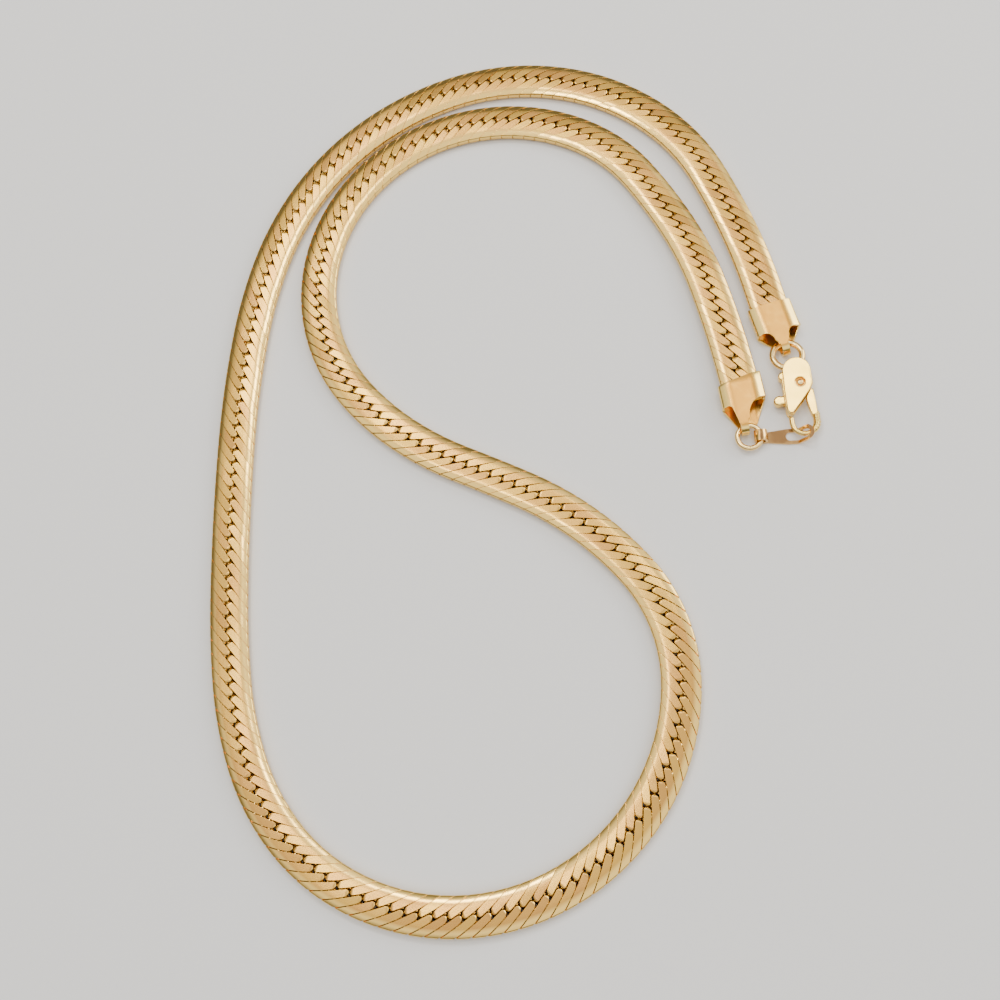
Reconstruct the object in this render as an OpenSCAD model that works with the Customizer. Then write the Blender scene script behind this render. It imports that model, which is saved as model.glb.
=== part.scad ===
// Flat herringbone neck chain, laid on a surface in one closed loop with its clasp fastened.
// Each link is one closed ring with two slanting bars above and two below, and is linked with the next three.

/* [Chain] */
// Width of the chain
chain_w = 6.6; // [6.4:0.1:6.8]
// Thickness of the chain
chain_t = 2.1; // [2:0.05:2.2]
// Width of the bevel along each edge, seen from above
bevel_w = 1.1; // [0.9:0.1:1.2]
// Drop of the bevel at the edge
bevel_d = 0.5; // [0.4:0.1:0.6]
// Number of loose links
link_count = 242; // [236:2:242]
// Gap between neighbouring bars, along the chain
bar_gap = 0.22; // [0.22:0.01:0.26]
// Gap between the upper and the lower bars
layer_gap = 0.3; // [0.28:0.01:0.34]
// Slant of the short cut where two bars meet at the middle line, in degrees
nose_slant = 20; // [10:1:25]
// Length over which each end of the chain rises into its cap
rise_len = 45; // [45:1:60]

/* [End caps] */
// Thickness of the folded sheet
sheet_t = 0.4; // [0.35:0.05:0.45]
// Room between the chain and the sheet
cap_room = 0.12; // [0.11:0.01:0.15]
// Length of the sleeve's mouth over the woven chain
mouth_len = 2.8; // [2.6:0.1:3]
// Length of the sleeve behind the chain's soldered end
heel_len = 2.4; // [2.2:0.1:2.6]
// Distance from the chain's end to the end of the tongue
tongue_x = 6.9; // [6.8:0.1:7]
// Length by which the second cap's tongue is longer
tongue_more = 0.4; // [0.3:0.1:0.4]
// Distance by which the second cap's tongue lies to the right of its middle
tongue_off = 0.9; // [0.8:0.1:0.9]
// Distance by which the corners of the second cap's mouth lie before and behind its middle
mouth_skew = 0.75; // [0.6:0.05:0.75]
// Length of the solder in the sleeve
solder_len = 0.6; // [0.5:0.1:0.6]
// Width of the tongue at its root
tongue_w = 2.6; // [2.4:0.1:2.8]
// Width of the tongue at its fold
fold_w = 1.3; // [1.2:0.1:1.3]

/* [Jump rings] */
// Radius to the middle of the large ring's wire
ring_a_r = 2.55; // [2.5:0.05:2.6]
// Radius of the large ring's wire
ring_a_wire = 0.55; // [0.5:0.05:0.55]
// Height of the large ring's middle over the table
ring_a_z = 1.45; // [1.4:0.05:1.45]
// Tilt that lifts the large ring's end in the claw, in degrees
ring_a_tilt = 7; // [5:1:7]
// Distance by which the large ring is pushed back into its cap's tongue
ring_a_back = 0.9; // [0.7:0.1:1]
// Radius to the middle of the small ring's wire
ring_b_r = 2.05; // [2:0.05:2.05]
// Radius of the small ring's wire
ring_b_wire = 0.45; // [0.4:0.05:0.45]
// Height of the small ring's middle over the table
ring_b_z = 1.2; // [1.2:0.05:1.25]

/* [Claw] */
// Thickness of the claw
claw_t = 2.9; // [2.9:0.1:3]
// Thickness of each of its two cheeks
cheek_t = 0.45; // [0.4:0.05:0.45]
// Thickness of the wall that joins the cheeks
wall_t = 0.55; // [0.5:0.05:0.6]
// Turn of the claw from the table's long side, in degrees
claw_turn = 4; // [3:1:5]
// Radius of the round head
head_r = 2.4; // [2.35:0.05:2.45]
// Thickness of the arm and of the lever's gate
arm_t = 1.3; // [1.2:0.1:1.4]
// Radius of the hook's wire
hook_wire = 0.45; // [0.4:0.05:0.45]
// Radius of the thicker leg below the arm
leg_r = 0.6; // [0.55:0.05:0.6]
// Radius to the middle of the hook's bend
hook_r = 2.1; // [2.05:0.05:2.15]
// Distance from the rivet down to the centre of the hook's bend
hook_y = 6.9; // [6.9:0.1:7]
// Thickness of the lever
lever_t = 1.6; // [1.4:0.1:1.7]
// Radius of the rivet
rivet_r = 0.6; // [0.55:0.05:0.6]
// Radius of the rivet's heads
rivet_head_r = 0.85; // [0.8:0.05:0.85]
// Thickness of the rivet's heads
rivet_head_t = 0.15; // [0.15:0.05:0.2]

/* [Tag] */
// Thickness of the tag
tag_t = 0.4; // [0.4:0.05:0.4]
// Width of the tag at its slot
tag_w = 2.7; // [2.6:0.1:2.8]
// Width of the tag at its curl
curl_w = 1.9; // [1.8:0.1:2]
// Hollow radius of the curl round the small ring
curl_r = 0.78; // [0.76:0.01:0.79]
// Width of the slot
slot_w = 1.6; // [1.5:0.1:1.6]
// Length of the slot
slot_len = 4; // [3.8:0.1:4.2]
// Height by which the tag's end rides over the hook
tag_step = 2.1; // [2.05:0.05:2.15]

/* [Hidden] */
$fn = 64;
gold = "goldenrod";
pale_gold = "khaki";
// Room round the rivet, and room between other pieces
rivet_fit = 0.05;
room = 0.15;
// Length by which joined solids run into each other
bite = 0.2;

// The route of the middle line, from the first cap round to the second, as arcs.
// Its columns are an arc's length in mm and its turn to the left in degrees.
ARC_LEN = 0;
ARC_TURN = 1;
ROUTE = [
    [6, -2.5], [14.4, 7], [12, 5], [12, 18], [44, 63], [38, 44], [14, 14], [14, 9],
    [20, 6], [30, 4], [14, 5], [14, 12], [14, 20], [12, 20], [76, 117],
    [22, 43], [12, 12], [12, 12], [12, 2], [12, -12], [12, -14], [94, -162],
    [12, -23], [12, -7], [14, -12], [14, -4], [8.4, -3]
];
// A pose is [x, y, heading in degrees], and this is the one at the first cap
route_start = [46.4, 23.3, 105.5];

// The pose at the end of an arc that starts at p
function arc_end(p, l, turn) =
    turn == 0
        ? [p.x + l * cos(p.z), p.y + l * sin(p.z), p.z]
        : let (r = l / (turn * PI / 180))
          [p.x + r * (sin(p.z + turn) - sin(p.z)), p.y - r * (cos(p.z + turn) - cos(p.z)), p.z + turn];

// A row for each arc, and one for the end: the length before it and the pose at its start
function arc_starts(i = 0, s = 0, p = route_start) =
    i == len(ROUTE)
        ? [[s, p]]
        : let (l = ROUTE[i][ARC_LEN], turn = ROUTE[i][ARC_TURN])
          concat([[s, p]], arc_starts(i + 1, s + l, arc_end(p, l, turn)));

STARTS = arc_starts();
route_len = STARTS[len(ROUTE)][0];

function arc_at(s) = max([0, for (i = [1:len(ROUTE) - 1]) if (STARTS[i][0] <= s) i]);

function pose(s) =
    let (i = arc_at(s), along = s - STARTS[i][0])
    arc_end(STARTS[i][1], along, ROUTE[i][ARC_TURN] * along / ROUTE[i][ARC_LEN]);

// A point that is given in a pose's own frame
function from_pose(p, q) =
    [p.x + q.x * cos(p.z) - q.y * sin(p.z), p.y + q.x * sin(p.z) + q.y * cos(p.z)];

function on_route(s, v) = from_pose(pose(s), [0, v]);

pitch = route_len / (link_count + 3);
bar_t = (chain_t - layer_gap) / 2;
half_bar = (pitch - bar_gap) / 2;
lean = 4 * pitch / chain_w;

// The chain lies on the table and rises at both ends to the caps, where its last links lie level
cap_z = sheet_t + cap_room;
cap_t = chain_t + 2 * cap_z;
function ease(t) = t >= 1 ? 1 : t <= 0 ? 0 : (1 - cos(180 * t)) / 2;
function lift(s) =
    let (rise_s = min(s, route_len - s) - 3 * pitch)
    cap_z * (1 - ease(rise_s / rise_len));

// The upper rear bar of a link, from its nose on the middle line out to the left edge.
// Points are [along, across] from the link's centre.
function nose_point(side) =
    let (v = (bar_gap / 2 + side * half_bar) / (lean + tan(nose_slant)))
    [bar_gap / 2 - 2 * pitch - v * tan(nose_slant), v];
nose_v = nose_point(1).y;
rear_bar = [
    nose_point(-1),
    [lean * nose_v - 2 * pitch + half_bar, nose_v],
    [half_bar, chain_w / 2],
    [-half_bar, chain_w / 2],
    nose_point(1)
];

// The front bar is the rear one turned half round, and the lower layer (-1) mirrors the upper one (1)
module bars(s, layer) {
    for (turned = [-1, 1])
        polygon([for (q = rear_bar) on_route(s + turned * q.x, turned * layer * q.y)]);
}

// One whole ring: its bars run through both layers where an upper and a lower one cross
module ring_link(s) {
    linear_extrude(bar_t) bars(s, -1);
    translate([0, 0, bar_t]) linear_extrude(layer_gap) intersection() {
        bars(s, 1);
        bars(s, -1);
    }
    translate([0, 0, bar_t + layer_gap]) linear_extrude(bar_t) bars(s, 1);
}

module at_pose(p, z = 0) {
    translate([p.x, p.y, z]) rotate(p.z) children();
}

// Extrudes a section, drawn across and up, from one place to another along the pose
module along(from_x, to_x) {
    translate([from_x, 0, 0]) rotate([90, 0, 90]) linear_extrude(to_x - from_x) children();
}

// The chain's bevelled section about its middle, made larger all round by d
bevel_angle = atan(bevel_d / bevel_w);
module section(d) {
    flat = [chain_w / 2 - bevel_w + d * tan(bevel_angle / 2), chain_t / 2 + d];
    edge = [chain_w / 2 + d, chain_t / 2 - bevel_d + d * tan(45 - bevel_angle / 2)];
    polygon([
        [edge.x, -edge.y], [edge.x, edge.y], [flat.x, flat.y], [-flat.x, flat.y],
        [-edge.x, edge.y], [-edge.x, -edge.y], [-flat.x, -flat.y], [flat.x, -flat.y]
    ]);
}

// The same section, with only its bevels where they are and its other sides pushed out by d
module bevels(d) {
    slope = bevel_d / bevel_w;
    flat = [chain_w / 2 - bevel_w - d / slope, chain_t / 2 + d];
    edge = [chain_w / 2 + d, chain_t / 2 - bevel_d - d * slope];
    polygon([
        [edge.x, -edge.y], [edge.x, edge.y], [flat.x, flat.y], [-flat.x, flat.y],
        [-edge.x, edge.y], [-edge.x, -edge.y], [-flat.x, -flat.y], [flat.x, -flat.y]
    ]);
}

module link(s) {
    translate([0, 0, lift(s)]) intersection() {
        ring_link(s);
        at_pose(pose(s), chain_t / 2) along(-3 * pitch, 3 * pitch) bevels(0.2);
    }
}

// Half of the loose links: the first is the one whose nose starts at the soldered end
module links(from_i, to_i) {
    color(gold) for (i = [from_i:to_i]) link((i + 2) * pitch);
}

module chain_a() {
    links(0, link_count / 2 - 1);
}

module chain_b() {
    links(link_count / 2, link_count - 1);
}

// A cap's frame lies on the chain's end, with x away from the chain. Each cap has a row for its right
// side and one for its left: x of the mouth and of the heel, radius of the upper sheet's hollow shoulder,
// and y of the lower sheet's corner beside the fold.
MOUTH_X = 0;
HEEL_X = 1;
SHOULDER_R = 2;
CORNER_Y = 3;
CAP_A = [
    [-mouth_len, heel_len, 1.6, -1],
    [-mouth_len, heel_len, 1.6, 1.9]
];
CAP_B = [
    [mouth_skew - mouth_len, heel_len - 0.4, 0.8, -1.8],
    [-mouth_skew - mouth_len, heel_len - 1.2, 3.2, 1.6]
];
cap_half_w = chain_w / 2 + cap_z;
function fold_at(end_x) = end_x - cap_t / 2;

// The sleeve seen from above, up to the heel on each side
module sleeve_plan(cap) {
    polygon([
        [cap[0][MOUTH_X], -cap_half_w], [cap[0][HEEL_X], -cap_half_w], [cap[0][HEEL_X], 0],
        [cap[1][HEEL_X], 0], [cap[1][HEEL_X], cap_half_w], [cap[1][MOUTH_X], cap_half_w]
    ]);
}

// The upper sheet behind the sleeve: the hollow shoulders and the tongue
module upper_plan(cap, end_x, off) {
    sleeve_plan(cap);
    translate([0, -off]) {
        for (i = [0, 1]) {
            r = cap[i][SHOULDER_R];
            x = cap[i][HEEL_X];
            mirror([0, 1 - i]) difference() {
                translate([x - bite, 0]) square([r + bite, tongue_w / 2 + r]);
                translate([x + r, tongue_w / 2 + r]) circle(r);
            }
        }
        polygon([
            [0, -tongue_w / 2], [heel_len + 1.6, -tongue_w / 2], [fold_at(end_x), -fold_w / 2],
            [end_x + bite, -fold_w / 2], [end_x + bite, fold_w / 2],
            [fold_at(end_x), fold_w / 2], [heel_len + 1.6, tongue_w / 2], [0, tongue_w / 2]
        ]);
    }
}

// The lower sheet runs straight from the heels to its corners, and has the same fold
module lower_plan(cap, end_x, off) {
    corner_x = fold_at(end_x) - 0.4;
    sleeve_plan(cap);
    polygon([
        [cap[0][HEEL_X] - bite, -cap_half_w], [cap[0][HEEL_X], -cap_half_w], [corner_x, cap[0][CORNER_Y]],
        [fold_at(end_x), -off - fold_w / 2], [end_x + bite, -off - fold_w / 2],
        [end_x + bite, fold_w / 2 - off], [fold_at(end_x), fold_w / 2 - off],
        [corner_x, cap[1][CORNER_Y]], [cap[1][HEEL_X], cap_half_w], [cap[1][HEEL_X] - bite, cap_half_w]
    ]);
}

// The tongue from the side: the upper and the lower sheet are one strip, folded at the end
module tongue_side(end_x) {
    difference() {
        union() {
            translate([heel_len, -cap_t / 2]) square([fold_at(end_x) - heel_len, cap_t]);
            translate([fold_at(end_x), 0]) circle(cap_t / 2);
        }
        translate([heel_len - bite, sheet_t - cap_t / 2])
            square([fold_at(end_x) - heel_len + bite, cap_t - 2 * sheet_t]);
        translate([fold_at(end_x), 0]) circle(cap_t / 2 - sheet_t);
    }
}

// The soldered end: the last three links, cut off and set in solder
module soldered_end(s, dir) {
    intersection() {
        translate([0, 0, cap_z]) for (i = [-1:1]) ring_link(s + i * pitch);
        at_pose(pose(s), cap_z + chain_t / 2)
            rotate(dir > 0 ? 0 : 180)
                along(-2 * bar_gap - bite, 4 * pitch) bevels(0.2);
    }
}

// The folded sheet before its outline is cut: a sleeve with the chain's section, and the strip behind it
module cap_blank(end_x) {
    along(-2 * mouth_len, heel_len + 2) difference() {
        section(cap_z);
        section(cap_room);
    }
    translate([0, cap_half_w, 0]) rotate([90, 0, 0]) linear_extrude(2 * cap_half_w) tongue_side(end_x);
}

// A cap on the chain's end at s, where dir is 1 if the chain runs on ahead of it and -1 if behind
module end_cap(s, dir, cap, end_x, off) {
    color(gold) {
        soldered_end(s, dir);
        at_pose(pose(s), cap_t / 2) rotate(dir > 0 ? 180 : 0) {
            intersection() {
                cap_blank(end_x);
                union() {
                    linear_extrude(cap_t) upper_plan(cap, end_x, off);
                    translate([0, 0, -cap_t]) linear_extrude(cap_t + bite) lower_plan(cap, end_x, off);
                }
            }
            along(2 * bar_gap, 2 * bar_gap + solder_len) section(cap_room + sheet_t / 2);
        }
    }
}

module end_cap_a() {
    end_cap(0, 1, CAP_A, tongue_x, 0);
}

module end_cap_b() {
    end_cap(route_len, -1, CAP_B, tongue_x + tongue_more, tongue_off);
}

module wire_ring(r, wire) {
    rotate_extrude() translate([r, 0]) circle(wire);
}

// The small ring hangs in its cap's fold, and the large one is pushed back between the sheets
ring_b_out = 1.9;
ring_b_side = -0.35;
function turned_back(p) = [p.x, p.y, p.z + 180];
ring_a_at = from_pose(turned_back(pose(0)), [fold_at(tongue_x) - ring_a_back + ring_a_r, 0]);
ring_b_at = from_pose(pose(route_len), [fold_at(tongue_x + tongue_more) + ring_b_out, ring_b_side]);

module jump_ring_a() {
    color(gold) at_pose([ring_a_at.x, ring_a_at.y, claw_turn], ring_a_z) rotate([-ring_a_tilt, 0, 0])
        wire_ring(ring_a_r, ring_a_wire);
}

module jump_ring_b() {
    color(gold) translate([ring_b_at.x, ring_b_at.y, ring_b_z]) wire_ring(ring_b_r, ring_b_wire);
}

// The claw's own frame has its origin at the rivet, with the head towards +Y and the hook towards -Y
head_at = [-0.3, 2.2];
ring_in_claw = [-1.3, 5.7];
claw_origin = from_pose([ring_a_at.x, ring_a_at.y, claw_turn], -ring_in_claw);
claw_pose = [claw_origin.x, claw_origin.y, claw_turn];
hook_at = [-0.1, -hook_y];
hook_tip_y = -5.8;
side_x = 2.1;

module cheek() {
    translate(head_at) circle(head_r);
    polygon([
        [-2.7, 2.2], [-2.8, -1.5], [-2.8, -4.6], [-2.5, -5.5], [-1.9, -5.5],
        [0.4, -2.8], [1.5, -1.5], [side_x, -0.4], [side_x, 2.2]
    ]);
}

// A solid of a plan that lies at the middle of the claw's thickness
module mid_plate(t) {
    translate([0, 0, (claw_t - t) / 2]) linear_extrude(t) children();
}

module cheek_plate(z, recess_z) {
    difference() {
        translate([0, 0, z]) linear_extrude(cheek_t) cheek();
        translate([0, 0, z - bite]) cylinder(r = rivet_r + rivet_fit, h = cheek_t + 2 * bite);
        translate([0, 0, recess_z])
            cylinder(r = rivet_head_r + rivet_fit, h = rivet_head_t + rivet_fit + bite);
    }
}

module claw_body() {
    color(pale_gold) at_pose(claw_pose) {
        cheek_plate(0, -bite);
        cheek_plate(claw_t - cheek_t, claw_t - rivet_head_t - rivet_fit);
        // the wall down the right side
        linear_extrude(claw_t) intersection() {
            cheek();
            translate([side_x - wall_t, -1.5]) square([wall_t + bite, 4.6]);
        }
        // the post that the large ring turns round
        linear_extrude(claw_t) intersection() {
            translate(head_at) circle(head_r);
            translate(ring_in_claw) circle(ring_a_r - ring_a_wire - room);
        }
        // the flat arm
        mid_plate(arm_t)
            polygon([[0.75, -2.6], [1.55, -1.2], [side_x, -1.2], [2.3, -5.8], [1.2, -6.1], [0.75, -3.4]]);
        // the hook: the leg below the arm, the bend and the short leg up to the gate
        at_pose([hook_at.x, hook_at.y, 0], claw_t / 2) {
            translate([hook_r, 0, 0]) rotate([-90, 0, 0]) cylinder(r = leg_r, h = 1.6);
            rotate(180) rotate_extrude(angle = 180) translate([hook_r, 0]) circle(hook_wire);
            translate([-hook_r, 0, 0]) rotate([-90, 0, 0]) cylinder(r = hook_wire, h = hook_y + hook_tip_y);
        }
    }
}

module claw_lever() {
    color(pale_gold) at_pose(claw_pose) difference() {
        union() {
            mid_plate(lever_t) {
                circle(1.3);
                // the back, with the knuckle above
                polygon([
                    [0.3, 1.25], [-2.5, 2.1], [-3, 0.4], [-3, -3.6],
                    [-2.7, -4.8], [-1.9, -4.7], [0.6, -1.1]
                ]);
                translate([-2.7, 1.6]) circle(0.8);
                // the thumb tab
                translate([-3.9, -2.8]) circle(0.9);
                translate([-3.9, -3.7]) square([1.2, 1.8]);
            }
            // the gate, whose end stays clear of the hook's tip as it swings past
            mid_plate(arm_t)
                polygon([[-2.7, -4.2], [-2.65, -5.25], [-1.75, -5.6], [-1.6, -4.2]]);
        }
        cylinder(r = rivet_r + rivet_fit, h = claw_t);
    }
}

module claw_rivet() {
    color(gold) at_pose(claw_pose) {
        translate([0, 0, rivet_head_t]) cylinder(r = rivet_r, h = claw_t - 2 * rivet_head_t);
        cylinder(r = rivet_head_r, h = rivet_head_t);
        translate([0, 0, claw_t - rivet_head_t]) cylinder(r = rivet_head_r, h = rivet_head_t);
    }
}

// The tag runs from its curl round the small ring to its slot round the hook's bend
bend_at = from_pose(claw_pose, hook_at - [0, hook_r]);
tag_turn = atan2(bend_at.y - ring_b_at.y, bend_at.x - ring_b_at.x);
// The curl sits a little inside the wire's middle, because the wire bends through it
curl_sag = 0.13;
curl_at = from_pose([ring_b_at.x, ring_b_at.y, tag_turn], [ring_b_r - curl_sag, 0]);
bend_x = norm(bend_at - curl_at);
tag_z = ring_b_z - curl_r - tag_t;

module end_tag_plan() {
    end_x = bend_x - 0.1;
    slot_x = end_x - 0.05;
    difference() {
        union() {
            translate([-2, -curl_w / 2]) square([4, curl_w]);
            polygon([
                [1.2, -curl_w / 2], [4.5, -tag_w / 2], [end_x, -tag_w / 2],
                [end_x, tag_w / 2], [4.5, tag_w / 2], [1.2, curl_w / 2]
            ]);
            translate([end_x, 0]) circle(tag_w / 2);
        }
        translate([slot_x, 0]) circle(slot_w / 2);
        translate([slot_x + slot_w - slot_len, 0]) circle(slot_w / 2);
        translate([slot_x + slot_w - slot_len, -slot_w / 2]) square([slot_len - slot_w, slot_w]);
    }
}

// The tag from the side: a curl, a flat and a step up over the hook
module end_tag_side() {
    from_x = bend_x - 1.1;
    to_x = bend_x + 0.55;
    fold = tag_t * tan(atan(tag_step / (to_x - from_x)) / 2);
    end_x = bend_x + tag_w;
    difference() {
        translate([0, ring_b_z]) circle(curl_r + tag_t);
        translate([0, ring_b_z]) circle(curl_r);
    }
    polygon([
        [0.3, tag_z], [from_x, tag_z], [to_x, tag_z + tag_step], [end_x, tag_z + tag_step],
        [end_x, tag_z + tag_step + tag_t], [to_x - fold, tag_z + tag_step + tag_t],
        [from_x - fold, tag_z + tag_t], [0.3, tag_z + tag_t]
    ]);
}

module end_tag() {
    color(gold) at_pose([curl_at.x, curl_at.y, tag_turn]) intersection() {
        translate([0, tag_w, 0]) rotate([90, 0, 0]) linear_extrude(2 * tag_w) end_tag_side();
        linear_extrude(2 * claw_t) end_tag_plan();
    }
}

chain_a();
chain_b();
end_cap_a();
end_cap_b();
jump_ring_a();
jump_ring_b();
claw_body();
claw_lever();
claw_rivet();
end_tag();
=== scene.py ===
import math
import random

import bmesh
import bpy
import numpy as np
from mathutils import Matrix, Vector


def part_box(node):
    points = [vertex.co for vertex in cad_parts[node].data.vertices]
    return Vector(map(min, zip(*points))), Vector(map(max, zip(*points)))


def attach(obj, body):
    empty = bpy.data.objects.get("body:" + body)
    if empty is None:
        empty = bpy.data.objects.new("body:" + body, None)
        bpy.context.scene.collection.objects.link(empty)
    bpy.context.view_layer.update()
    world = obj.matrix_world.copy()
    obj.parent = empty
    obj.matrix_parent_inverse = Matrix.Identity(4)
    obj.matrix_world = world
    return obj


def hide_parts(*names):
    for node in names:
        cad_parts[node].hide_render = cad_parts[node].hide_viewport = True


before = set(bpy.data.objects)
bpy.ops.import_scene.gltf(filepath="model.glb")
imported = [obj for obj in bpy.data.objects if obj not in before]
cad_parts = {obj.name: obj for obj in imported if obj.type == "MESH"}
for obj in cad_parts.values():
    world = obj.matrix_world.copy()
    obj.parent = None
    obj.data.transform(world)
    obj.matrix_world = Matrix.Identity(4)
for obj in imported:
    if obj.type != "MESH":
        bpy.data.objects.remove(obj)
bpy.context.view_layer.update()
print("frame loaded")

mm = 0.001
rng = random.Random(7)


class Flow:
    # a socket in a node tree, on which plain sums add the Math nodes
    def __init__(self, tree, socket=None):
        self.tree = tree
        self.socket = socket

    def node(self, kind, settings, sockets, out=0):
        made = self.tree.nodes.new("ShaderNode" + kind)
        for name, value in settings.items():
            setattr(made, name, value)
        for name, value in sockets.items():
            if isinstance(value, Flow):
                self.tree.links.new(value.socket, made.inputs[name])
            else:
                made.inputs[name].default_value = value
        return Flow(self.tree, made.outputs[out])

    def math(self, operation, first, second):
        return self.node("Math", {"operation": operation}, {0: first, 1: second})

    def __add__(self, other):
        return self.math("ADD", self, other)

    def __sub__(self, other):
        return self.math("SUBTRACT", self, other)

    def __rsub__(self, other):
        return self.math("SUBTRACT", other, self)

    def __mul__(self, other):
        return self.math("MULTIPLY", self, other)

    __radd__ = __add__
    __rmul__ = __mul__


def mixColour(factor, first, second):
    return factor.node("Mix", {"data_type": "RGBA"}, {0: factor, 6: first, 7: second}, out=2)


def noise(place, scale, detail):
    return place.node("TexNoise", {}, {"Vector": place, "Scale": scale, "Detail": detail})


def newMaterial(name):
    material = bpy.data.materials.new(name)
    material.use_nodes = True
    tree = material.node_tree
    return material, tree.nodes["Principled BSDF"], Flow(tree)


def plug(shader, name, flow):
    flow.tree.links.new(flow.socket, shader.inputs[name])


# Link metal: flat faces are satin with a fine grain along the bar, rims and bevels are polished and are
# given a lighter colour as a painted highlight
linkMetal = {
    "warm": (0.50, 0.245, 0.062, 1),    # rosier links
    "pale": (0.64, 0.385, 0.068, 1),    # yellower links
    # lighter colour painted on rims, noses and bevels as a highlight
    "polishedHighlight": (0.94, 0.62, 0.17, 1),
    "satinRough": 0.27,
    "polishRough": 0.16,
    "grainStep": 8.0,                   # grains per mm across a bar
    "grainStretch": 0.3,                # scale along the bar, so that grains are long
    "grainHeight": 0.012,               # mm
    "bump": 0.5,
    "grainShift": (7.3, 3.1),           # mm by which the grain moves from bar to bar
    "grainRough": 0.12,                 # spread of the roughness over the grain
    "grainGone": 0.85,                  # share of the grain that is polished off the rims
    "mottleStep": 1.1,                  # blotches per mm
    "mottleShare": 0.3,                 # of the tone, the rest goes from link to link
}


def linkMaterial():
    material, shader, flow = newMaterial("linkMetal")
    shine = flow.node("Attribute", {"attribute_name": "shine"}, {}, out=2)
    tone = flow.node("Attribute", {"attribute_name": "tone"}, {}, out=2)
    grainAt = flow.node("Attribute", {"attribute_name": "grainAt"}, {}, out=1)
    stretched = flow.node("VectorMath", {"operation": "MULTIPLY"},
                          {0: grainAt, 1: (linkMetal["grainStretch"], 1, 1)})
    grain = noise(stretched, linkMetal["grainStep"], 3)
    mottle = noise(grainAt, linkMetal["mottleStep"], 2)
    blotchy = linkMetal["mottleShare"]
    satin = mixColour(tone * (1 - blotchy) + mottle * blotchy, linkMetal["warm"], linkMetal["pale"])
    # the shine mask mixes in the painted highlight colour on rims, noses, bevels and inner faces
    plug(shader, "Base Color", mixColour(shine, satin, linkMetal["polishedHighlight"]))
    spread = linkMetal["polishRough"] - linkMetal["satinRough"]
    uneven = linkMetal["grainRough"]
    plug(shader, "Roughness", shine * spread + linkMetal["satinRough"] + grain * uneven - uneven / 2)
    relief = grain * (1 - shine * linkMetal["grainGone"])
    bump = flow.node("Bump", {}, {"Height": relief, "Strength": linkMetal["bump"],
                                  "Distance": linkMetal["grainHeight"] * mm})
    plug(shader, "Normal", bump)
    shader.inputs["Metallic"].default_value = 1
    return material


# Clasp metals: flat tops are satin, all that turns away from straight up is polished and is given a
# lighter colour as a painted highlight
claspMetals = {
    "capMetal": {"satin": (0.56, 0.27, 0.04, 1), "polishedHighlight": (1.0, 0.70, 0.20, 1),
                 "satinRough": 0.26, "polishRough": 0.12},
    "clawMetal": {"satin": (1.0, 0.67, 0.13, 1), "polishedHighlight": (1.0, 0.69, 0.20, 1),
                  "satinRough": 0.20, "polishRough": 0.12},
    "wireMetal": {"satin": (1.0, 0.70, 0.26, 1), "polishedHighlight": (1.0, 0.70, 0.28, 1),
                  "satinRough": 0.14, "polishRough": 0.10},
    # the tag's flat faces are dark brown, and all that turns away from straight up gets a bright
    # painted highlight
    "tagMetal": {"satin": (0.17, 0.09, 0.035, 1), "polishedHighlight": (0.95, 0.60, 0.20, 1),
                 "satinRough": 0.34, "polishRough": 0.16},
}
claspSurface = {
    "grainStep": 5500,                  # grains and smears per metre
    "smearStep": 450,
    "grainShare": 0.06,                 # of the smears' height
    "height": 0.05,                     # mm
    "bump": 0.5,
    "level": (0.93, 0.99),              # upward part of the normal, from the painted highlight colour to the flat tops' colour
    "satinLeast": 0.75,                 # share of the flat tops' colour, and what the smears add to it; below 1 the smears show as soft patches of painted highlight
    "satinSmear": 0.5,
    "smearRough": 0.08,
}


def claspMaterial(name):
    look = claspMetals[name]
    material, shader, flow = newMaterial(name)
    normal = flow.node("NewGeometry", {}, {}, out=1)
    up = flow.node("SeparateXYZ", {}, {"Vector": normal}, out=2)
    steep, flat = claspSurface["level"]
    level = flow.node("MapRange", {}, {"Value": up, "From Min": steep, "From Max": flat})
    place = flow.node("TexCoord", {}, {}, out=3)
    grain = noise(place, claspSurface["grainStep"], 3)
    smear = noise(place, claspSurface["smearStep"], 2)
    satin = claspSurface["satinLeast"] + smear * claspSurface["satinSmear"]
    # faces that turn away from straight up, and the smears' patches, get the lighter painted highlight
    # colour
    plug(shader, "Base Color", mixColour(level * satin, look["polishedHighlight"], look["satin"]))
    spread = look["satinRough"] - look["polishRough"]
    plug(shader, "Roughness", level * spread + look["polishRough"] + smear * claspSurface["smearRough"])
    relief = grain * level * claspSurface["grainShare"] + smear
    bump = flow.node("Bump", {}, {"Height": relief, "Strength": claspSurface["bump"],
                                  "Distance": claspSurface["height"] * mm})
    plug(shader, "Normal", bump)
    shader.inputs["Metallic"].default_value = 1
    return material


paper = {
    "light": (0.80, 0.79, 0.77, 1),
    "dark": (0.76, 0.75, 0.73, 1),
    "fibreStep": 900,                   # fibres per metre
    "rough": 0.7,
}


def floorMaterial():
    material, shader, flow = newMaterial("floorPaper")
    place = flow.node("TexCoord", {}, {}, out=3)
    fibre = noise(place, paper["fibreStep"], 3)
    plug(shader, "Base Color", mixColour(fibre * 0.5, paper["light"], paper["dark"]))
    shader.inputs["Roughness"].default_value = paper["rough"]
    return material


def makePiece(name, points, faces, material):
    # a piece from points in mm
    mesh = bpy.data.meshes.new(name)
    mesh.from_pydata((np.asarray(points) * mm).tolist(), [], faces)
    mesh.shade_smooth()
    piece = bpy.data.objects.new(name, mesh)
    bpy.context.scene.collection.objects.link(piece)
    mesh.materials.append(material)
    return piece


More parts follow.
